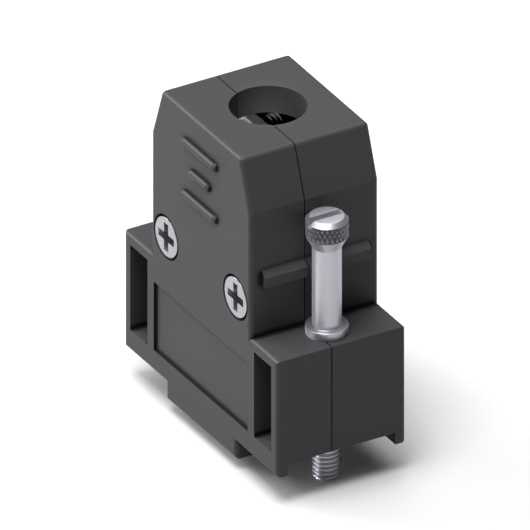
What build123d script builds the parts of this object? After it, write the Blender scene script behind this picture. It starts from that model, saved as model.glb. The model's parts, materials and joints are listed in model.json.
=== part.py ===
from build123d import *
import math
import os

# A straight backshell for a small D-sub connector: two moulded halves closed by two screws,
# two captive knurled jackscrews in the ears, and a two-bar cable clamp under the cable hole.
# X runs along the broad face, -Y is the face with the case screws, +Z points at the cable.
# The origin lies midway between the jackscrews, on the plane of the ears' feet.
# All sizes are millimetres.

# Hood body
body_width = 20.0
body_depth = 15.0
body_height = 33.5
shoulder_drop = 5.6
crown_width = 16.0
edge_radius = 0.5
parting_offset = 1.15
side_wall = 1.5
face_wall = 1.3
seam_width = 0.14
seam_depth = 0.25
tongue_thickness = 0.5
tongue_height = 0.6
tongue_gap = 0.1
tongue_end_inset = 1.0

# Ears and the jackscrew windows in them
jackscrew_spacing = 25.0
ear_height = 13.5
ear_outer_wall = 1.25
ear_roof = 1.1
ear_floor = 1.15
window_width = 3.5
web = 1.1

# Connector end
flange_slot_height = 1.35
flange_slot_depth = 12.5
pocket_depth = 11.2
pocket_roof_height = 12.5
skirt_width = 14.2
skirt_drop = 2.0
skirt_thickness = 2.75

# Sunk plate on the front face
plate_margin = 0.5
plate_height = 8.0
plate_sink = 0.3

# Cable hole and its collar
cable_hole_radius = 4.0
cable_hole_offset = 0.35
collar_depth = 3.1

# Grip ribs on the broad faces and bars on the sides
grip_radius = 0.5
grip_pitch = 3.05
grip_lengths = (7.0, 4.2, 7.0)
grip_drop = 3.4
side_bar_height = 1.9
side_bar_reach = 0.83
side_bar_length = 12.4
side_bar_base = 19.3
side_bar_slope = 0.65

# Case screws
case_screw_inset = 3.0
case_screw_height = 16.9
case_screw_radius = 1.25
case_screw_length = 10.0
case_head_radius = 2.2
case_head_height = 1.4
head_gap = 0.3
shank_gap = 0.2
boss_wall = 1.2
head_boss_wall = 0.45
head_edge_break = 0.15
cross_span = 3.15
cross_arm = 0.85
cross_sink = 1.0
cross_draft = 12.0

# Jackscrews
thread_radius = 1.5
thread_reach = 3.3
thread_length = 4.2
thread_tip_bevel = 0.2
relief_radius = 1.2
relief_length = 0.6
shank_radius = 1.52
running_gap = 0.1
stop_collar_radius = 2.225
stop_collar_height = 0.95
jackscrew_shank_length = 9.1
head_cone_height = 1.3
knurl_height = 1.75
crown_bevel_height = 0.45
crown_flat_radius = 1.79
driver_slot_width = 0.8
driver_slot_sink = 0.8

# Retaining rings pushed on to the jackscrews inside the windows
jackscrew_float = 3.0
ring_thickness = 0.6
ring_groove_radius = 1.1
ring_bore_gap = 0.05
ring_side_gap = 0.1
ring_face_gap = 0.05
ring_depth = 4.0
ring_mouth = 1.9

# Cable clamp
clamp_height = 3.8
clamp_thickness = 1.2
clamp_top_gap = 1.8
clamp_end_gap = 0.4
clamp_spacing = 2.6
clamp_rear_face = 1.45
clamp_arch_radius = 4.25
clamp_arch_half_width = 3.4
tooth_pitch = 1.7
tooth_height = 0.3
clamp_screw_spread = 12.4
clamp_screw_radius = 1.5
clamp_screw_length = 8.0
clamp_head_radius = 2.2
clamp_head_height = 1.7
clamp_hole_gap = 0.15
thread_gap = 0.02
shelf_thickness = 1.0
shelf_reach = 0.9

# Sizes that follow from the ones above
half_depth = body_depth / 2
half_width = body_width / 2
parting_y = -parting_offset
shoulder_z = body_height - shoulder_drop
jackscrew_x = jackscrew_spacing / 2
window_inner_x = jackscrew_x - window_width / 2
window_outer_x = jackscrew_x + window_width / 2
ear_x = window_outer_x + ear_outer_wall
window_bottom_z = flange_slot_height + ear_floor
window_top_z = ear_height - ear_roof
pocket_half_width = window_inner_x - web
chamber_half_width = half_width - side_wall
chamber_half_depth = half_depth - face_wall
ceiling_z = body_height - collar_depth
case_screw_x = half_width - case_screw_inset
counterbore_radius = case_head_radius + head_gap
counterbore_depth = case_head_height
boss_radius = case_screw_radius + shank_gap + boss_wall
ring_top_z = window_top_z - jackscrew_float
clamp_top_z = ceiling_z - clamp_top_gap
clamp_bottom_z = clamp_top_z - clamp_height
clamp_screw_x = clamp_screw_spread / 2
clamp_screw_z = (clamp_top_z + clamp_bottom_z) / 2
clamp_front_face = clamp_rear_face - clamp_spacing


def block(x_low, x_high, y_low, y_high, z_low, z_high):
    """A block between its low and high sides."""
    centre = ((x_low + x_high) / 2, (y_low + y_high) / 2, (z_low + z_high) / 2)
    return Pos(*centre) * Box(x_high - x_low, y_high - y_low, z_high - z_low)


def across(shape, y_low, y_high):
    """A flat shape drawn in X and Z, carried from one depth to another."""
    return extrude(Plane.XZ.offset(-y_high) * shape, amount=y_high - y_low)


def outline(*points):
    """A flat closed outline in X and Z."""
    return make_face(Polyline(*points, close=True))


def upright(x, y, radius, z_low, z_high):
    """A round bar that stands along Z."""
    return extrude(Plane.XY.offset(z_low) * Pos(x, y) * Circle(radius), amount=z_high - z_low)


def bar_through(x, z, radius, y_low, y_high):
    """A round bar that lies along Y."""
    return across(Pos(x, z) * Circle(radius), y_low, y_high)


def crown_line(x_inset, z_low, z_high):
    """The body's side outline, set in from the outside, from one height to another."""
    slope = (half_width - crown_width / 2) / shoulder_drop
    side = half_width - x_inset
    top = side - slope * (z_high - shoulder_z)
    return outline(
        (-side, z_low),
        (side, z_low),
        (side, shoulder_z),
        (top, z_high),
        (-top, z_high),
        (-side, shoulder_z),
    )


def solid_hood():
    """The closed hood without its hollows: body, ears and skirts, with rounded rims."""
    body = across(crown_line(0, 0, body_height), -half_depth, half_depth)
    crown_edges = body.edges().filter_by(Axis.Y).group_by(Axis.Z)[-1]
    body = fillet(crown_edges, edge_radius)
    form = body + block(-ear_x, ear_x, -half_depth, half_depth, 0, ear_height)
    for y_low in (-half_depth, half_depth - skirt_thickness):
        form += block(-skirt_width / 2, skirt_width / 2, y_low, y_low + skirt_thickness, -skirt_drop, 0)
    faces = form.faces().sort_by(Axis.Y)
    return fillet(faces[0].edges() + faces[-1].edges(), edge_radius)


def side_bar(side):
    """A sloped grip bar on one side of the body, from front to back."""
    root = side * (half_width - side_wall / 2)
    skin = side * half_width
    reach = side * (half_width + side_bar_reach)
    top = side_bar_base + side_bar_height
    shape = outline(
        (root, side_bar_base),
        (skin, side_bar_base),
        (reach, side_bar_base + side_bar_slope / 6),
        (reach, top - side_bar_slope),
        (skin, top),
        (root, top),
    )
    return across(shape, -side_bar_length / 2, side_bar_length / 2)


def grip_ribs(y_face):
    """Three half-round ribs with domed ends on a broad face, the middle one shorter."""
    ribs = []
    for row, length in enumerate(grip_lengths):
        z = body_height - grip_drop - row * grip_pitch
        half = length / 2
        shoulder = half - grip_radius
        dome = grip_radius / math.sqrt(2)
        profile = outline(
            (-half, 0),
            (-shoulder - dome, dome),
            (-shoulder, grip_radius),
            (shoulder, grip_radius),
            (shoulder + dome, dome),
            (half, 0),
        )
        ribs.append(Pos(0, y_face, z) * revolve(Plane.XZ * profile, axis=Axis.X))
    return ribs


def hollows():
    """What is open inside the closed hood."""
    deep = half_depth + 1
    spaces = [
        block(-ear_x - 1, ear_x + 1, -flange_slot_depth / 2, flange_slot_depth / 2, 0, flange_slot_height),
        block(
            -pocket_half_width,
            pocket_half_width,
            -pocket_depth / 2,
            pocket_depth / 2,
            flange_slot_height,
            pocket_roof_height,
        ),
        across(
            crown_line(side_wall, pocket_roof_height, ceiling_z),
            -chamber_half_depth,
            chamber_half_depth,
        ),
        upright(0, cable_hole_offset, cable_hole_radius, ceiling_z, body_height + 1),
    ]
    for side in (-1, 1):
        x = side * jackscrew_x
        spaces.append(
            block(x - window_width / 2, x + window_width / 2, -deep, deep, window_bottom_z, window_top_z)
        )
        spaces.append(upright(x, 0, shank_radius + running_gap, 0, ear_height + 1))
    return spaces


def clamp_shelves():
    """Ledges on the side walls that the cable clamp's ends stand on."""
    shelves = []
    for side in (-1, 1):
        outer = side * (chamber_half_width + side_wall / 2)
        inner = side * (chamber_half_width - shelf_reach)
        x_low, x_high = sorted((outer, inner))
        shelves.append(
            block(
                x_low,
                x_high,
                -chamber_half_depth,
                chamber_half_depth,
                clamp_bottom_z - shelf_thickness,
                clamp_bottom_z,
            )
        )
    return shelves


def screw_bosses():
    """Posts for the case screws, from wall to wall, wider in front for the heads."""
    deep = half_depth - face_wall / 2
    front_radius = counterbore_radius + head_boss_wall
    posts = []
    for side in (-1, 1):
        x = side * case_screw_x
        posts.append(bar_through(x, case_screw_height, front_radius, -deep, parting_y))
        posts.append(bar_through(x, case_screw_height, boss_radius, parting_y, deep))
    return posts


def closed_hood():
    """Both halves as one, hollowed, with bosses, shelves, side bars and grip ribs."""
    outside = solid_hood()
    form = outside - hollows()
    form += [post & outside for post in screw_bosses()]
    form += [side_bar(side) for side in (-1, 1)]
    form += clamp_shelves()
    form += grip_ribs(-half_depth) + grip_ribs(half_depth)
    return form - seam_channel()


def half_space(front):
    """A block that holds the front or the rear half of the hood."""
    far = body_depth
    y_low, y_high = (-far, parting_y) if front else (parting_y, far)
    return block(-2 * ear_x, 2 * ear_x, y_low, y_high, -2 * skirt_drop, 2 * body_height)


def seam_channel():
    """A narrow channel along the parting plane, all round the outside and in the cable hole's wall."""
    ears = outline((-ear_x, 0), (ear_x, 0), (ear_x, ear_height), (-ear_x, ear_height))
    inside = offset(crown_line(0, 0, body_height) + ears, -seam_depth, kind=Kind.INTERSECTION)
    around = Rectangle(4 * ear_x, 4 * body_height) - inside
    y_low = parting_y - seam_width / 2
    y_high = parting_y + seam_width / 2
    hole_half = math.sqrt(cable_hole_radius**2 - (cable_hole_offset - parting_y) ** 2) + seam_depth
    in_hole = block(-hole_half, hole_half, y_low, y_high, ceiling_z, body_height + 1)
    return across(around, y_low, y_high) + in_hole


def tongues(gap):
    """Straight locating tongues in the middle of the side walls, grown by a gap all round."""
    middle = half_width - side_wall / 2
    half = tongue_thickness / 2 + gap
    z_low = ear_height + tongue_end_inset - gap
    z_high = shoulder_z - tongue_end_inset + gap
    y_high = parting_y + tongue_height + gap
    return [
        block(side * middle - half, side * middle + half, parting_y - tongue_height / 2, y_high, z_low, z_high)
        for side in (-1, 1)
    ]


def front_shell(form):
    """The front half, with counterbored screw holes, the sunk plate and locating tongues."""
    shell = form & half_space(True)
    shell += tongues(0)
    inner_x = half_width - plate_margin
    shell -= block(
        -inner_x,
        inner_x,
        -half_depth - 1,
        -half_depth + plate_sink,
        window_bottom_z,
        window_bottom_z + plate_height,
    )
    for side in (-1, 1):
        x = side * case_screw_x
        shell -= bar_through(
            x, case_screw_height, counterbore_radius, -half_depth - 1, -half_depth + counterbore_depth
        )
        shell -= bar_through(
            x, case_screw_height, case_screw_radius + shank_gap, -half_depth - 1, parting_y + 1
        )
    return shell


def rear_shell(form):
    """The rear half, with grooves for the tongues and blind pilot holes for the case screws."""
    shell = form & half_space(False)
    shell -= tongues(tongue_gap)
    tip = -half_depth + case_head_height + case_screw_length
    for side in (-1, 1):
        shell -= bar_through(
            side * case_screw_x,
            case_screw_height,
            case_screw_radius + thread_gap,
            parting_y - 1,
            tip + head_gap,
        )
    return shell


def cross_recess():
    """A tapered cross cut, its mouth in the plane Z = 0 and its floor below."""
    mouth = Rectangle(cross_span, cross_arm) + Rectangle(cross_arm, cross_span)
    return extrude(mouth, amount=-cross_sink, taper=cross_draft)


def screw(shank_radius, length, head_radius, head_height):
    """A cross-recess screw along Z, head up, its underside in the plane Z = 0."""
    head = upright(0, 0, head_radius, 0, head_height)
    head = chamfer(head.edges().sort_by(Axis.Z)[-1], head_edge_break)
    shank = upright(0, 0, shank_radius, -length, 0)
    shank = chamfer(shank.edges().sort_by(Axis.Z)[0], shank_radius / 4)
    return head + shank - Pos(0, 0, head_height) * cross_recess()


def screw_from_front(shape, x, y, z):
    """Turns a screw so that its head faces the front, its underside at the given depth."""
    return Pos(x, y, z) * Rot(90, 0, 0) * shape


def case_screw(side):
    """One of the two screws that close the hood, its head flush with the front face."""
    shape = screw(case_screw_radius, case_screw_length, case_head_radius, case_head_height)
    return screw_from_front(shape, side * case_screw_x, -half_depth + counterbore_depth, case_screw_height)


def jackscrew(side):
    """A turned jackscrew: thread, relief, ring groove, stop collar, shank and slotted head."""
    thread_top = thread_length - thread_reach
    groove_top = ring_top_z + ring_face_gap
    groove_bottom = ring_top_z - ring_thickness - ring_face_gap
    collar_top = ear_height + stop_collar_height
    shank_top = collar_top + jackscrew_shank_length
    knurl_bottom = shank_top + head_cone_height
    knurl_top = knurl_bottom + knurl_height
    crown = knurl_top + crown_bevel_height
    profile = outline(
        (0, -thread_reach),
        (thread_radius - thread_tip_bevel, -thread_reach),
        (thread_radius, thread_tip_bevel - thread_reach),
        (thread_radius, thread_top),
        (relief_radius, thread_top),
        (relief_radius, thread_top + relief_length),
        (shank_radius, thread_top + relief_length),
        (shank_radius, groove_bottom),
        (ring_groove_radius, groove_bottom),
        (ring_groove_radius, groove_top),
        (shank_radius, groove_top),
        (shank_radius, ear_height),
        (stop_collar_radius, ear_height),
        (stop_collar_radius, collar_top),
        (shank_radius, collar_top),
        (shank_radius, shank_top),
        (stop_collar_radius, knurl_bottom),
        (stop_collar_radius, knurl_top),
        (crown_flat_radius, crown),
        (0, crown),
    )
    shape = revolve(Plane.XZ * profile, axis=Axis.Z)
    half_slot = driver_slot_width / 2
    reach = 2 * stop_collar_radius
    shape -= block(-half_slot, half_slot, -reach, reach, crown - driver_slot_sink, crown + 1)
    return Pos(side * jackscrew_x, 0, 0) * shape


def retaining_ring(side):
    """A flat C-shaped ring in the jackscrew's groove, its straight sides guided by the window."""
    half = window_width / 2 - ring_side_gap
    z_low = ring_top_z - ring_thickness
    bore = ring_groove_radius + ring_bore_gap
    shape = block(-half, half, -ring_depth / 2, ring_depth / 2, z_low, ring_top_z)
    shape = chamfer(shape.edges().filter_by(Axis.Z), edge_radius)
    shape -= upright(0, 0, bore, z_low - 1, ring_top_z + 1)
    shape -= block(-ring_mouth / 2, ring_mouth / 2, 0, ring_depth, z_low - 1, ring_top_z + 1)
    return Pos(side * jackscrew_x, 0, 0) * shape


def saddle():
    """A clamp bar with its inner face in the plane Y = 0, arched to +Y and toothed for the cable."""
    half_length = chamber_half_width - clamp_end_gap
    centre = -math.sqrt(clamp_arch_radius**2 - clamp_arch_half_width**2)
    outer = clamp_arch_radius + clamp_thickness
    bar = Pos(0, clamp_thickness / 2) * Rectangle(2 * half_length, clamp_thickness)
    arch = Pos(0, centre) * Circle(outer) & Pos(0, outer) * Rectangle(2 * outer, 2 * outer)
    strip = bar + arch - Pos(0, centre) * Circle(clamp_arch_radius)
    return extrude(strip, amount=clamp_height) + saddle_teeth(centre)


def saddle_teeth(centre):
    """Ridges round the inside of the arch that bite into the cable's jacket."""
    count = int(clamp_height // tooth_pitch)
    first = (clamp_height - (count - 1) * tooth_pitch) / 2
    teeth = []
    for row in range(count):
        z = first + row * tooth_pitch
        ridge = outline(
            (clamp_arch_radius - tooth_height, z),
            (clamp_arch_radius + tooth_height, z - tooth_height),
            (clamp_arch_radius + tooth_height, z + tooth_height),
        )
        ring = revolve(Plane.XZ * ridge, axis=Axis.Z)
        teeth.append(Pos(0, centre, 0) * ring)
    half = clamp_arch_half_width
    keep = block(-half, half, 0, 2 * clamp_arch_radius, 0, clamp_height)
    return [tooth & keep for tooth in teeth]


def clamp_saddle(front):
    """The front bar has clearance holes, the rear bar the threads."""
    shape = saddle()
    if front:
        shape = Pos(0, clamp_front_face, clamp_bottom_z) * mirror(shape, about=Plane.XZ)
        radius = clamp_screw_radius + clamp_hole_gap
    else:
        shape = Pos(0, clamp_rear_face, clamp_bottom_z) * shape
        radius = clamp_screw_radius + thread_gap
    for side in (-1, 1):
        shape -= bar_through(side * clamp_screw_x, clamp_screw_z, radius, -half_depth, half_depth)
    return shape


def clamp_screw(side):
    """One of the two screws that draw the clamp bars together."""
    shape = screw(clamp_screw_radius, clamp_screw_length, clamp_head_radius, clamp_head_height)
    return screw_from_front(shape, side * clamp_screw_x, clamp_front_face - clamp_thickness, clamp_screw_z)


def build_parts():
    """Every separate piece of the hood, by name."""
    form = closed_hood()
    parts = {
        "front_shell": front_shell(form),
        "rear_shell": rear_shell(form),
        "clamp_saddle_front": clamp_saddle(True),
        "clamp_saddle_rear": clamp_saddle(False),
    }
    for name, side in (("left", -1), ("right", 1)):
        parts["case_screw_" + name] = case_screw(side)
        parts["jackscrew_" + name] = jackscrew(side)
        parts["retaining_ring_" + name] = retaining_ring(side)
        parts["clamp_screw_" + name] = clamp_screw(side)
    return parts


os.makedirs("parts", exist_ok=True)
for node, piece in build_parts().items():
    export_step(piece, "parts/" + node + ".step")
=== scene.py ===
import json

import bpy
import numpy as np
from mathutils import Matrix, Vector

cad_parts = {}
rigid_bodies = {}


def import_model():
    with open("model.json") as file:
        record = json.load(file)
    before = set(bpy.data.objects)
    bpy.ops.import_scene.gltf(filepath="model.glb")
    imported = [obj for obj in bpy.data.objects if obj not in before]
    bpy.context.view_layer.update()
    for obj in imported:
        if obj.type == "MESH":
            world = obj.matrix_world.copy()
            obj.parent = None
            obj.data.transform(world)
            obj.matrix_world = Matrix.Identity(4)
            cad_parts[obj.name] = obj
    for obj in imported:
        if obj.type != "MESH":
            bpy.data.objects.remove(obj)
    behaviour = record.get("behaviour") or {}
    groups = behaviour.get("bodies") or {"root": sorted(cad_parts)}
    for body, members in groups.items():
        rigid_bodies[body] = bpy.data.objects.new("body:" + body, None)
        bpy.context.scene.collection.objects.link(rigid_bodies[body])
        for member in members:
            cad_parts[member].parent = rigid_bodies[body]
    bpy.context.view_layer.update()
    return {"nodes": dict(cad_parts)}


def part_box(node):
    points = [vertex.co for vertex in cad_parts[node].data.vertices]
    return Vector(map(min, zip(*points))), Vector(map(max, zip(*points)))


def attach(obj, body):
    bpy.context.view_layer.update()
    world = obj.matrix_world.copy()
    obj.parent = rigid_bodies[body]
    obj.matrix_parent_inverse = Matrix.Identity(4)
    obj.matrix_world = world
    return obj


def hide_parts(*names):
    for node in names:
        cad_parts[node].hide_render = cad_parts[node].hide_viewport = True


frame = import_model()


# The hood's two halves are injection-moulded in charcoal glass-filled nylon, from a tool with a fine
# spark-eroded grain. They close on each other along one plane across the width, which leaves a thin
# seam over the crown, the sides and the ears.

MM = 0.001
SHELL_SHADE = "#363638"
SHELL_ROUGHNESS, SHELL_IOR, SHELL_GLOSS = 0.42, 1.5, 0.12
SHELL_GRAIN = 0.16 * MM
SHELL_GRAIN_DEPTH = 0.004 * MM
# Painted shade: inside corners get a darker colour, by ambient occlusion over this reach, in place of the
# shade that falls there.
PAINTED_CORNER_SHADE = "#171718"
PAINTED_SHADE_REACH = 0.7 * MM
FULL_SHADE_OPENNESS, NO_SHADE_OPENNESS = 0.78, 0.98


def linear(code):
    """An sRGB hex colour as linear red, green, blue and alpha."""
    shades = np.array([int(code[i : i + 2], 16) for i in (1, 3, 5)]) / 255
    shades = np.where(shades <= 0.04045, shades / 12.92, ((shades + 0.055) / 1.055) ** 2.4)
    return (*shades.tolist(), 1.0)


def new_finish(name, **sockets):
    """A material with one Principled shader, and that shader, its sockets set by name."""
    material = bpy.data.materials.new(name)
    material.use_nodes = True
    shader = material.node_tree.nodes["Principled BSDF"]
    for socket, value in sockets.items():
        shader.inputs[socket.replace("_", " ")].default_value = value
    return material, shader


def add_node(material, kind, sockets=None, links=None, **settings):
    """Adds a shader node with its settings, socket values, and links from other nodes' outputs."""
    node = material.node_tree.nodes.new(kind)
    for setting, value in settings.items():
        setattr(node, setting, value)
    for socket, value in (sockets or {}).items():
        node.inputs[socket].default_value = value
    for socket, output in (links or {}).items():
        material.node_tree.links.new(output, node.inputs[socket])
    return node


def moulded_nylon():
    """Charcoal nylon: matt, with a grain of tiny pits that breaks up the light, never a clear reflection.

    The real grain, some 0.05 mm wide, is too fine to show, so it is drawn about three times as coarse.
    Inside corners are painted darker, a painted shade that stands in for the shade falling into them, so
    the sunk plate, the ribs and the windows keep the dark lines round them that the real part shows.
    """
    material, shader = new_finish(
        "moulded_glass_nylon",
        Roughness=SHELL_ROUGHNESS,
        IOR=SHELL_IOR,
        Specular_IOR_Level=SHELL_GLOSS,
    )
    # Painted shade: how open the surface is within the reach blends the shell's colour towards the dark
    # corner colour.
    openness = add_node(
        material,
        "ShaderNodeAmbientOcclusion",
        sockets={"Distance": PAINTED_SHADE_REACH},
        only_local=True,
        samples=16,
    )
    painted_shade_ramp = add_node(material, "ShaderNodeValToRGB", links={"Fac": openness.outputs["AO"]})
    dark, light = painted_shade_ramp.color_ramp.elements
    dark.position = FULL_SHADE_OPENNESS
    dark.color = linear(PAINTED_CORNER_SHADE)
    light.position = NO_SHADE_OPENNESS
    light.color = linear(SHELL_SHADE)
    material.node_tree.links.new(painted_shade_ramp.outputs["Color"], shader.inputs["Base Color"])
    place = add_node(material, "ShaderNodeTexCoord")
    grain = add_node(
        material,
        "ShaderNodeTexNoise",
        sockets={"Scale": 1 / SHELL_GRAIN, "Detail": 2.0, "Roughness": 0.55},
        links={"Vector": place.outputs["Object"]},
    )
    pits = add_node(
        material,
        "ShaderNodeBump",
        sockets={"Strength": 0.5, "Distance": SHELL_GRAIN_DEPTH},
        links={"Height": grain.outputs["Fac"]},
    )
    material.node_tree.links.new(pits.outputs["Normal"], shader.inputs["Normal"])
    return material


def dress(nodes, finish):
    """Gives CAD nodes one finish, in place of the plain one that they came with."""
    for node in nodes:
        finishes = frame["nodes"][node].data.materials
        finishes.clear()
        finishes.append(finish)


dress(("front_shell", "rear_shell"), moulded_nylon())


# The clamp bars under the cable hole are pressed from zinc-plated steel strip and toothed to bite
# into the cable's jacket. The retaining rings are stamped from spring steel, left as rolled, and snap
# into the jackscrews' grooves.

CLAMP_SHADE = "#b9b9bb"
CLAMP_ROUGHNESS = 0.7
CLAMP_STREAK = 0.15 * MM
RING_SHADE = "#77777a"
RING_ROUGHNESS = 0.4
RING_STREAK = 0.1 * MM
STREAK_SQUEEZE = 0.08
STREAK_SPREAD = 0.08


def rolled_metal(name, colour, roughness, streak):
    """Steel strip with faint rolling streaks along X, which spread the light a little unevenly.

    Real streaks are a few hundredths of a millimetre wide, too fine to show, so they are drawn a few
    times as coarse. X is squeezed where the noise is read, which makes them long.
    """
    material, shader = new_finish(name, Base_Color=linear(colour), Metallic=1.0, Roughness=roughness)
    place = add_node(material, "ShaderNodeTexCoord")
    along = add_node(
        material,
        "ShaderNodeMapping",
        sockets={"Scale": (STREAK_SQUEEZE, 1.0, 1.0)},
        links={"Vector": place.outputs["Object"]},
    )
    streaks = add_node(
        material,
        "ShaderNodeTexNoise",
        sockets={"Scale": 1 / streak, "Detail": 2.0},
        links={"Vector": along.outputs["Vector"]},
    )
    spread = add_node(
        material,
        "ShaderNodeMapRange",
        sockets={"To Min": roughness - STREAK_SPREAD, "To Max": roughness + STREAK_SPREAD},
        links={"Value": streaks.outputs["Fac"]},
    )
    material.node_tree.links.new(spread.outputs["Result"], shader.inputs["Roughness"])
    return material


# The clamp's plate is pale and dull, so it shows as light grey metal with no highlight. The rings'
# bare steel is darker and smoother.
clamp_finish = rolled_metal("zinc_plated_strip", CLAMP_SHADE, CLAMP_ROUGHNESS, CLAMP_STREAK)
dress(("clamp_saddle_front", "clamp_saddle_rear"), clamp_finish)
ring_finish = rolled_metal("rolled_spring_steel", RING_SHADE, RING_ROUGHNESS, RING_STREAK)
dress(("retaining_ring_left", "retaining_ring_right"), ring_finish)


# The cable clamp is drawn together by two M3 screws, and the hood is closed by two thread-forming
# screws in its bosses. All four have flat round heads with a cross recess, cold-headed and rolled,
# and bright zinc plate.

SCREW_SHADE = "#a4a4a7"
SCREW_ROUGHNESS = 0.28
BATH_GRAIN = 0.4 * MM
BATH_SMOOTHER, BATH_ROUGHER = 0.04, 0.05
M3_RADIUS, M3_PITCH, M3_THREAD_DEPTH = 1.5 * MM, 0.5 * MM, 0.307 * MM
CASE_SCREW_RADIUS, CASE_SCREW_PITCH, CASE_SCREW_THREAD_DEPTH = 1.25 * MM, 1.06 * MM, 0.33 * MM
CASE_HEAD_HEIGHT, CLAMP_HEAD_HEIGHT = 1.4 * MM, 1.7 * MM
HEAD_ROUNDING, UNDERHEAD_ROUNDING = 0.07 * MM, 0.08 * MM
NECK_LENGTH, NECK_FILLET = 0.35 * MM, 0.1 * MM
TIP_SHARE, TIP_BEVEL_SHARE = 0.6, 0.35
CROSS_SPAN = 3.15 * MM
CROSS_ARM = 0.85 * MM
CROSS_DEPTH = 1.15 * MM
CROSS_WALL_SHARE, CROSS_FLOOR_SHARE = 0.9, 0.84
CUTTER_PROUD = 0.3 * MM
THREAD_CORNERS, THREAD_FALL = (0, 0.125, 0.4375, 0.6875, 1), (0, 0, 1, 1, 0)
THREAD_STATIONS = (0, 0.06, 0.125, 0.28, 0.4375, 0.56, 0.6875, 0.84)
SCREW_COLUMNS = 96
ROUNDING_STEPS = 5
CREASE_ANGLE = 0.3
JOINED_WITHIN = 1e-7


def grid_mesh(name, points):
    """A closed mesh over a grid of points, rows by columns, its first and last rows each one point.

    The last column repeats the first. Each cell becomes two triangles, cut along its shorter
    diagonal, and points that coincide are joined, which closes the round and both ends.
    """
    rows, columns = points.shape[:2]
    index = np.arange(rows * columns).reshape(rows, columns)
    a, b = index[:-1, :-1].ravel(), index[:-1, 1:].ravel()
    d, c = index[1:, :-1].ravel(), index[1:, 1:].ravel()
    flat = points.reshape(-1, 3)
    rising = np.linalg.norm(flat[a] - flat[c], axis=1) <= np.linalg.norm(flat[b] - flat[d], axis=1)
    lower = np.where(rising[:, None], np.stack([a, b, c], 1), np.stack([a, b, d], 1))
    upper = np.where(rising[:, None], np.stack([a, c, d], 1), np.stack([b, c, d], 1))
    mesh = bpy.data.meshes.new(name)
    mesh.from_pydata(flat.tolist(), [], np.concatenate([lower, upper]).tolist())
    piece = bpy.data.objects.new(name, mesh)
    bpy.context.scene.collection.objects.link(piece)
    join = piece.modifiers.new("join", "WELD")
    join.merge_threshold = JOINED_WITHIN
    settle(piece)
    return piece


def settle(piece):
    """Applies the piece's modifiers to its mesh for good."""
    shape = piece.evaluated_get(bpy.context.evaluated_depsgraph_get())
    mesh = bpy.data.meshes.new_from_object(shape)
    piece.modifiers.clear()
    piece.data = mesh


def cut(piece, cutter):
    """Takes the cutter's shape out of the piece for good, and removes the cutter."""
    difference = piece.modifiers.new("cut", "BOOLEAN")
    difference.operation = "DIFFERENCE"
    difference.solver = "EXACT"
    difference.object = cutter
    settle(piece)
    bpy.data.objects.remove(cutter)


def shade(piece, finish):
    """Smooth shading, with creases where faces meet at more than the crease angle, and one finish."""
    mesh = piece.data
    mesh.polygons.foreach_set("use_smooth", np.ones(len(mesh.polygons), bool))
    mesh.set_sharp_from_angle(angle=CREASE_ANGLE)
    mesh.materials.clear()
    mesh.materials.append(finish)


def turned_profile(corners):
    """Rows of a turned profile from its corners (radius, height, rounding), bottom to top.

    Each corner C between neighbours becomes the curve (1-t)^2 A + 2t(1-t) C + t^2 B, with A and B on
    the profile's lines at the rounding's distance from C.
    """
    corners = np.array(corners, float)
    point = corners[:, :2]
    reach = corners[1:-1, 2:]
    back = point[:-2] - point[1:-1]
    ahead = point[2:] - point[1:-1]
    a = point[1:-1] + back / np.linalg.norm(back, axis=1, keepdims=True) * reach
    b = point[1:-1] + ahead / np.linalg.norm(ahead, axis=1, keepdims=True) * reach
    t = np.linspace(0, 1, ROUNDING_STEPS)[:, None, None]
    curve = (1 - t) ** 2 * a + 2 * t * (1 - t) * point[1:-1] + t**2 * b
    inner = curve.transpose(1, 0, 2).reshape(-1, 2)
    return np.concatenate([point[:1], inner, point[-1:]])


def round_rows(profile, columns):
    """Radius and height arrays, the same at every column, from profile rows."""
    level = np.ones(columns + 1)
    return profile[:, :1] * level, profile[:, 1:] * level


def thread_rows(low, high, crest, depth, pitch, columns, tip_bevel):
    """Radius and height arrays of a right-hand thread between two heights.

    Rows climb one pitch per turn: height = low + pitch * (row + turn - 1), held between the ends, with
    rows at the stations, which are shares of a pitch. Radius = crest - depth * trapezium(height /
    pitch - turn), with an eighth of the pitch at the crest and a quarter at the root, and never
    outside a 45 degree bevel that starts tip_bevel inside the crest at the low end.
    """
    turn = np.linspace(0, 1, columns + 1)
    turns = np.arange(int((high - low) / pitch) + 2)
    start = (turns[:, None] + np.array(THREAD_STATIONS)).ravel()[:, None] - 1
    height = np.clip(low + pitch * (start + turn), low, high)
    phase = ((height - low) / pitch - turn) % 1.0
    fall = np.interp(phase, THREAD_CORNERS, THREAD_FALL)
    bevel = crest - tip_bevel + (height - low)
    return np.minimum(crest - depth * fall, bevel), height


def turned_points(radius, height):
    """Points (radius cos a, radius sin a, height) with the angle going once round over the columns."""
    angle = np.linspace(0, 2 * np.pi, radius.shape[1])
    return np.stack([radius * np.cos(angle), radius * np.sin(angle), height], axis=-1)


def cross_cutter(top):
    """A cross that narrows with depth and ends in a shallow point, to cut a recess below a height.

    Its outline is the end of one arm, turned to the four sides. At each depth it is shrunk to a share.
    """
    half, arm = CROSS_SPAN / 2, CROSS_ARM / 2
    arm_end = np.array([[half, -arm], [half, arm], [arm, arm]])
    turn = np.array([[0, -1], [1, 0]])
    outline = np.concatenate([arm_end @ np.linalg.matrix_power(turn, -k) for k in range(4)])
    outline = np.concatenate([outline, outline[:1]])
    wall_depth = CROSS_WALL_SHARE * CROSS_DEPTH
    depth = np.array([-CUTTER_PROUD, -CUTTER_PROUD, 0, wall_depth, CROSS_DEPTH])
    shrink = np.array([0, 1, 1, CROSS_FLOOR_SHARE, 0])
    flat = outline * shrink[:, None, None]
    height = np.broadcast_to(top - depth[:, None, None], (*flat.shape[:2], 1))
    return grid_mesh("cross_cutter", np.concatenate([flat, height], axis=2)[::-1])


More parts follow.
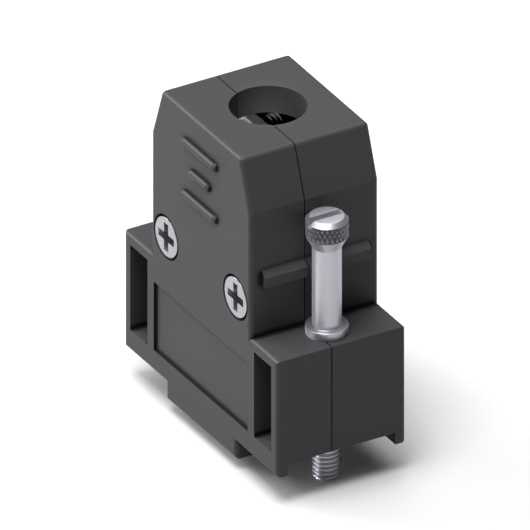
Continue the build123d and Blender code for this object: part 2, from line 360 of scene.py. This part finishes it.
def place_front(piece, seat):
    """Turns a screw drawn along Z so that its head faces -Y: (x, y, z) becomes (x, -z, y) + seat."""
    points = np.empty(len(piece.data.vertices) * 3)
    piece.data.vertices.foreach_get("co", points)
    x, y, z = points.reshape(-1, 3).T
    moved = np.stack([x, -z, y], axis=1) + np.array(seat)
    piece.data.vertices.foreach_set("co", moved.ravel())
    piece.data.update()


def cross_screw(node, finish, shank, pitch, thread_depth, head_height):
    """A cross-recess screw in the place of its CAD node: head to the front, thread to the back.

    It is drawn along Z with the underside of its head at zero, from its tip up to its head.
    """
    low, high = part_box(node)
    head = (high.x - low.x) / 2
    foot = head_height - (high.y - low.y)
    neck = shank - thread_depth / 2
    tip = np.array([[0, foot], [shank * TIP_SHARE, foot]])
    thread = thread_rows(
        foot, -NECK_LENGTH, shank, thread_depth, pitch, SCREW_COLUMNS, shank * TIP_BEVEL_SHARE
    )
    top = turned_profile(
        [
            (neck, -NECK_LENGTH, 0),
            (neck, 0, NECK_FILLET),
            (head, 0, UNDERHEAD_ROUNDING),
            (head, head_height, HEAD_ROUNDING),
            (0, head_height, 0),
        ]
    )
    parts = [round_rows(tip, SCREW_COLUMNS), thread, round_rows(top, SCREW_COLUMNS)]
    radius, height = map(np.concatenate, zip(*parts))
    piece = grid_mesh(node + "_threaded", turned_points(radius, height))
    cut(piece, cross_cutter(head_height))
    place_front(piece, Vector(((low.x + high.x) / 2, low.y + head_height, (low.z + high.z) / 2)))
    shade(piece, finish)
    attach(piece, "housing")
    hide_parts(node)


def plated_metal(name, colour, roughness):
    """Plated steel: a clear but soft reflection, with fine unevenness from the plating bath."""
    material, shader = new_finish(name, Base_Color=linear(colour), Metallic=1.0, Roughness=roughness)
    place = add_node(material, "ShaderNodeTexCoord")
    bath = add_node(
        material,
        "ShaderNodeTexNoise",
        sockets={"Scale": 1 / BATH_GRAIN, "Detail": 3.0},
        links={"Vector": place.outputs["Object"]},
    )
    spread = add_node(
        material,
        "ShaderNodeMapRange",
        sockets={"To Min": roughness - BATH_SMOOTHER, "To Max": roughness + BATH_ROUGHER},
        links={"Value": bath.outputs["Fac"]},
    )
    material.node_tree.links.new(spread.outputs["Result"], shader.inputs["Roughness"])
    return material


# Bright zinc is the smoothest metal here, so the heads show pale with a clear highlight on the edge.
screw_finish = plated_metal("bright_zinc_plate", SCREW_SHADE, SCREW_ROUGHNESS)
for side in ("left", "right"):
    cross_screw(
        "case_screw_" + side,
        screw_finish,
        shank=CASE_SCREW_RADIUS,
        pitch=CASE_SCREW_PITCH,
        thread_depth=CASE_SCREW_THREAD_DEPTH,
        head_height=CASE_HEAD_HEIGHT,
    )
    cross_screw(
        "clamp_screw_" + side,
        screw_finish,
        shank=M3_RADIUS,
        pitch=M3_PITCH,
        thread_depth=M3_THREAD_DEPTH,
        head_height=CLAMP_HEAD_HEIGHT,
    )


# The jackscrews are turned from free-cutting steel bar and nickel-plated: an M3 thread, a relief
# groove, a groove for the retaining ring, a stop collar that lands on the ear, a plain shank, and a
# head with a milled driver slot and a rolled diamond knurl.

JACKSCREW_SHADE = "#b2b0b7"
JACKSCREW_ROUGHNESS = 0.42
# Painted shade: the knurl's colour is a darker copy of the nickel, for the shade in its grooves.
KNURL_PAINTED_SHADE = "#747378"
KNURL_ROUGHNESS = 0.38
THREAD_TOP = 0.9 * MM
RELIEF_TOP = 1.5 * MM
GROOVE_LOW, GROOVE_HIGH = 8.75 * MM, 9.45 * MM
COLLAR_LOW, COLLAR_HIGH = 13.5 * MM, 14.45 * MM
SHANK_TOP = 23.55 * MM
KNURL_LOW, KNURL_HIGH = 24.85 * MM, 26.6 * MM
CROWN_TOP = 27.05 * MM
RELIEF_RADIUS, GROOVE_RADIUS = 1.2 * MM, 1.1 * MM
SHANK_RADIUS, HEAD_RADIUS, CROWN_RADIUS = 1.52 * MM, 2.225 * MM, 1.79 * MM
THREAD_TIP_BEVEL = 0.3 * MM
RELIEF_FILLET, RELIEF_EDGE = 0.1 * MM, 0.08 * MM
GROOVE_ROUNDING = 0.04 * MM
COLLAR_UNDER_FILLET, COLLAR_UNDER_EDGE = 0.03 * MM, 0.06 * MM
COLLAR_TOP_EDGE, COLLAR_TOP_FILLET = 0.07 * MM, 0.04 * MM
CONE_FILLET = 0.06 * MM
CROWN_ROUNDING = 0.02 * MM
SLOT_WIDTH, SLOT_DEPTH = 0.8 * MM, 0.8 * MM
SLOT_CUTTER_PROUD = 1.0 * MM
KNURL_PITCH = 0.54 * MM
KNURL_AROUND = round(2 * np.pi * HEAD_RADIUS / KNURL_PITCH)
KNURL_STEPS = 10
KNURL_HALF_ROWS = 9
KNURL_RUN_OUT_ROWS = 3
KNURL_DEPTH = 0.16 * MM
KNURL_CREST = 0.75
KNURL_REACH = 1.1 * KNURL_DEPTH
JACKSCREW_COLUMNS = KNURL_AROUND * KNURL_STEPS


def knurl_rows():
    """Radius and height arrays of the knurled band, row by row from its lower to its upper edge.

    Two crossing sets of V grooves, at u = around * turn + climb and v = around * turn - climb, leave
    pyramids of height min(tri(u), tri(v)), blunted above the crest's share. Climb grows by one each
    KNURL_STEPS rows. The grooves run out at the band's edges, which stay round: over a few rows at
    the lower edge, and over one at the upper edge. The diamonds are drawn a little coarser than the
    real ones, so that they show.
    """
    turn = np.linspace(0, 1, JACKSCREW_COLUMNS + 1)
    rows = np.arange(-KNURL_HALF_ROWS, KNURL_HALF_ROWS + 1)[:, None]
    u = KNURL_AROUND * turn + rows / KNURL_STEPS
    v = KNURL_AROUND * turn - rows / KNURL_STEPS
    ridge = np.minimum(1 - np.abs(2 * (u % 1) - 1), 1 - np.abs(2 * (v % 1) - 1))
    groove = 1 - np.minimum(ridge / KNURL_CREST, 1)
    run_out = np.minimum((KNURL_HALF_ROWS + rows) / KNURL_RUN_OUT_ROWS, KNURL_HALF_ROWS - rows)
    middle = (KNURL_LOW + KNURL_HIGH) / 2
    height = middle + rows / KNURL_HALF_ROWS * (KNURL_HIGH - KNURL_LOW) / 2 + 0 * turn
    return HEAD_RADIUS - KNURL_DEPTH * np.clip(run_out, 0, 1) * groove, height


def jackscrew_points(foot):
    """Points of a jackscrew round the Z axis, from the height of its tip to its crown.

    Its rows are the flat tip, the thread, the turned shank with its grooves and collar, the knurl and
    the crown, one after the other.
    """
    tip = np.array([[0, foot], [M3_RADIUS - THREAD_TIP_BEVEL, foot]])
    thread = thread_rows(
        foot, THREAD_TOP, M3_RADIUS, M3_THREAD_DEPTH, M3_PITCH, JACKSCREW_COLUMNS, THREAD_TIP_BEVEL
    )
    shank = turned_profile(
        [
            (RELIEF_RADIUS, THREAD_TOP, 0),
            (RELIEF_RADIUS, RELIEF_TOP, RELIEF_FILLET),
            (SHANK_RADIUS, RELIEF_TOP, RELIEF_EDGE),
            (SHANK_RADIUS, GROOVE_LOW, GROOVE_ROUNDING),
            (GROOVE_RADIUS, GROOVE_LOW, GROOVE_ROUNDING),
            (GROOVE_RADIUS, GROOVE_HIGH, GROOVE_ROUNDING),
            (SHANK_RADIUS, GROOVE_HIGH, GROOVE_ROUNDING),
            (SHANK_RADIUS, COLLAR_LOW, COLLAR_UNDER_FILLET),
            (HEAD_RADIUS, COLLAR_LOW, COLLAR_UNDER_EDGE),
            (HEAD_RADIUS, COLLAR_HIGH, COLLAR_TOP_EDGE),
            (SHANK_RADIUS, COLLAR_HIGH, COLLAR_TOP_FILLET),
            (SHANK_RADIUS, SHANK_TOP, CONE_FILLET),
            (HEAD_RADIUS, KNURL_LOW, 0),
        ]
    )
    crown = turned_profile(
        [(HEAD_RADIUS, KNURL_HIGH, 0), (CROWN_RADIUS, CROWN_TOP, CROWN_ROUNDING), (0, CROWN_TOP, 0)]
    )
    parts = [
        round_rows(tip, JACKSCREW_COLUMNS),
        thread,
        round_rows(shank, JACKSCREW_COLUMNS),
        knurl_rows(),
        round_rows(crown, JACKSCREW_COLUMNS),
    ]
    radius, height = map(np.concatenate, zip(*parts))
    return turned_points(radius, height)


def slot_cutter(x, y):
    """A square bar along Y, to mill the driver slot: four corners carried between two ends."""
    half = SLOT_WIDTH / 2
    deep, proud = CROWN_TOP - SLOT_DEPTH, CROWN_TOP + SLOT_CUTTER_PROUD
    ring = np.array([[-half, deep], [half, deep], [half, proud], [-half, proud], [-half, deep]])
    centre = np.array([0, CROWN_TOP]) + 0 * ring
    rows = np.stack([centre, ring, ring, centre])
    reach = 2 * HEAD_RADIUS
    along = np.array([reach, reach, -reach, -reach])[:, None] + 0 * rows[..., 0]
    return grid_mesh("slot_cutter", np.stack([x + rows[..., 0], y + along, rows[..., 1]], axis=-1))


def finish_knurl(piece, x, y, finish):
    """Gives the faces of the knurl a finish of their own.

    They are those between the band's edges whose centres lie no deeper than the grooves, measured
    from the head's radius round the axis at x and y, with a tenth to spare.
    """
    # The knurl's finish is a darker copy of the nickel, a painted shade for its grooves.
    piece.data.materials.append(finish)
    centres = np.empty(len(piece.data.polygons) * 3)
    piece.data.polygons.foreach_get("center", centres)
    centres = centres.reshape(-1, 3)
    from_axis = np.hypot(centres[:, 0] - x, centres[:, 1] - y)
    between = (centres[:, 2] > KNURL_LOW) & (centres[:, 2] < KNURL_HIGH)
    knurled = between & (from_axis > HEAD_RADIUS - KNURL_REACH)
    piece.data.polygons.foreach_set("material_index", knurled.astype(np.int32))


def jackscrew(side, finish, shaded_knurl_finish):
    """One knurled jackscrew in the place of its CAD node, riding its own turning body."""
    node = "jackscrew_" + side
    low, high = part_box(node)
    x, y = (low.x + high.x) / 2, (low.y + high.y) / 2
    piece = grid_mesh(node + "_turned", jackscrew_points(low.z) + np.array([x, y, 0]))
    cut(piece, slot_cutter(x, y))
    shade(piece, finish)
    finish_knurl(piece, x, y, shaded_knurl_finish)
    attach(piece, side + "_jackscrew")
    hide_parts(node)
    return piece


# Nickel over turned steel gives a soft, slightly violet grey shine. The knurl gets a darker copy of the
# same nickel, a painted shade for the light its grooves trap, so its ridges stand out against it.
jackscrew_finish = plated_metal("satin_nickel_plate", JACKSCREW_SHADE, JACKSCREW_ROUGHNESS)
shaded_knurl_finish = plated_metal("knurl_nickel_painted_shade", KNURL_PAINTED_SHADE, KNURL_ROUGHNESS)
jackscrews = [jackscrew(side, jackscrew_finish, shaded_knurl_finish) for side in ("left", "right")]


# The studio: a plain pale floor under the tips of the jackscrews, four soft panels that light
# everything, and five lights that reach only the clamp, the jackscrews, the shells or the floor. The
# view is a parallel projection, 60 degrees round from the front and 30 degrees up.

FLOOR_SHADE = "#aeaeae"
FLOOR_HALF_WIDTH = 1.2
VIEW_CENTRE = Vector((0, 0, 15.0 * MM))
VIEW_DIRECTION = Vector((0.75, -0.433, 0.5))
VIEW_DISTANCE = 0.4
VIEW_PIXELS, PIXELS_PER_MM = 530, 9.9
HOLE_WALL = Vector((-0.6, 0.7, 33.0)) * MM
HOLE_LIGHT_DIRECTION = Vector((0.5, -0.29, 0.75))
HOLE_LIGHT_DISTANCE = 0.36
HOLE_LIGHT_RADIUS = 2.0 * MM
HOLE_LIGHT_POWER = 10.0
HOLE_BEAM, HOLE_BEAM_BLEND = 0.018, 0.8
WORLD_STRENGTH = 0.12


def aim(piece, place, target):
    """Puts a light or camera at a place, looking at a target."""
    piece.location = place
    piece.rotation_euler = (target - place).to_track_quat("-Z", "Y").to_euler()
    bpy.context.scene.collection.objects.link(piece)


def panel(name, direction, distance, size, power):
    """A square soft light that faces the hood from a direction, in metres and watts."""
    lamp = bpy.data.lights.new(name, "AREA")
    lamp.size = size
    lamp.energy = power
    light = bpy.data.objects.new(name, lamp)
    aim(light, VIEW_CENTRE + Vector(direction).normalized() * distance, VIEW_CENTRE)
    return light


def group_of(name, pieces):
    """A collection of pieces that a light reaches."""
    group = bpy.data.collections.new(name)
    for piece in pieces:
        group.objects.link(piece)
    return group


def keep_to(light, group):
    """Makes a light reach only a group's pieces, and be blocked by them alone."""
    light.light_linking.receiver_collection = group
    light.light_linking.blocker_collection = group


# The floor is matt pale paper, which shows a soft shadow and no reflection. Its light grey comes out
# white in these lights.
floor_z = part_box("jackscrew_right")[0].z
corners = np.array([[-1, -1], [1, -1], [1, 1], [-1, 1]]) * FLOOR_HALF_WIDTH
floor_mesh = bpy.data.meshes.new("floor")
floor_mesh.from_pydata(np.column_stack([corners, np.full(4, floor_z)]).tolist(), [], [(0, 1, 2, 3)])
floor = bpy.data.objects.new("floor", floor_mesh)
bpy.context.scene.collection.objects.link(floor)
floor_mesh.materials.append(new_finish("matt_paper", Base_Color=linear(FLOOR_SHADE), Roughness=0.9)[0])

# The front and overhead panels light the shells, the edge panel shines on the rounded edges between
# the front and the tops, and the back panel on the tops of the metal.
panel("front_light", (-0.2, -0.9, 0.5), distance=0.6, size=0.5, power=0.8)
panel("edge_light", (-0.75, -0.5, 0.433), distance=0.6, size=0.32, power=4.4)
panel("overhead_light", (0.08, -0.22, 1), distance=0.7, size=0.35, power=8.6)
panel("back_light", (-0.35, 0.25, 1), distance=0.7, size=0.4, power=2.2)

# The clamp lies deep in the hood, so its light isn't blocked by the shells. Metal shows what stands
# round it, so the jackscrews have a wide tent over them and a card low at their left, which the
# shells don't block either.
clamp_pieces = [piece for piece in bpy.context.scene.objects if piece.name.startswith("clamp_")]
inner_metal = group_of("inner_metal", clamp_pieces)
clamp_light = panel("clamp_light", (-0.4, -0.9, 0.25), distance=0.4, size=0.2, power=1.9)
keep_to(clamp_light, inner_metal)
turned_metal = group_of("turned_metal", jackscrews)
tent_light = panel("tent_light", (-0.5, 0.29, 0.75), distance=0.5, size=0.8, power=2.0)
keep_to(tent_light, turned_metal)
card_light = panel("card_light", (-0.62, -0.6, -0.3), distance=0.4, size=0.2, power=1.4)
keep_to(card_light, turned_metal)

# A narrow lamp shines down the cable hole on to its far wall, and reaches only the shells.
hole_lamp = bpy.data.lights.new("hole_light", "SPOT")
hole_lamp.spot_size = HOLE_BEAM
hole_lamp.spot_blend = HOLE_BEAM_BLEND
hole_lamp.shadow_soft_size = HOLE_LIGHT_RADIUS
hole_lamp.energy = HOLE_LIGHT_POWER
hole_light = bpy.data.objects.new("hole_light", hole_lamp)
shells = [frame["nodes"]["front_shell"], frame["nodes"]["rear_shell"]]
hole_light.light_linking.receiver_collection = group_of("moulded_shells", shells)
aim(hole_light, HOLE_WALL + HOLE_LIGHT_DIRECTION.normalized() * HOLE_LIGHT_DISTANCE, HOLE_WALL)

# A wide light reaches only the floor, under the hood too, and lifts the shadow.
floor_light = panel("floor_light", (0, 0, 1), distance=1.0, size=1.5, power=4.5)
keep_to(floor_light, group_of("floor_only", [floor]))

world = bpy.data.worlds.new("studio")
world.use_nodes = True
world.node_tree.nodes["Background"].inputs["Color"].default_value = linear("#ffffff")
world.node_tree.nodes["Background"].inputs["Strength"].default_value = WORLD_STRENGTH
bpy.context.scene.world = world
bpy.context.scene.view_settings.view_transform = "Standard"

camera_data = bpy.data.cameras.new("camera")
camera_data.type = "ORTHO"
camera_data.ortho_scale = VIEW_PIXELS / PIXELS_PER_MM * MM
camera = bpy.data.objects.new("camera", camera_data)
aim(camera, VIEW_CENTRE + VIEW_DIRECTION.normalized() * VIEW_DISTANCE, VIEW_CENTRE)
bpy.context.scene.camera = camera
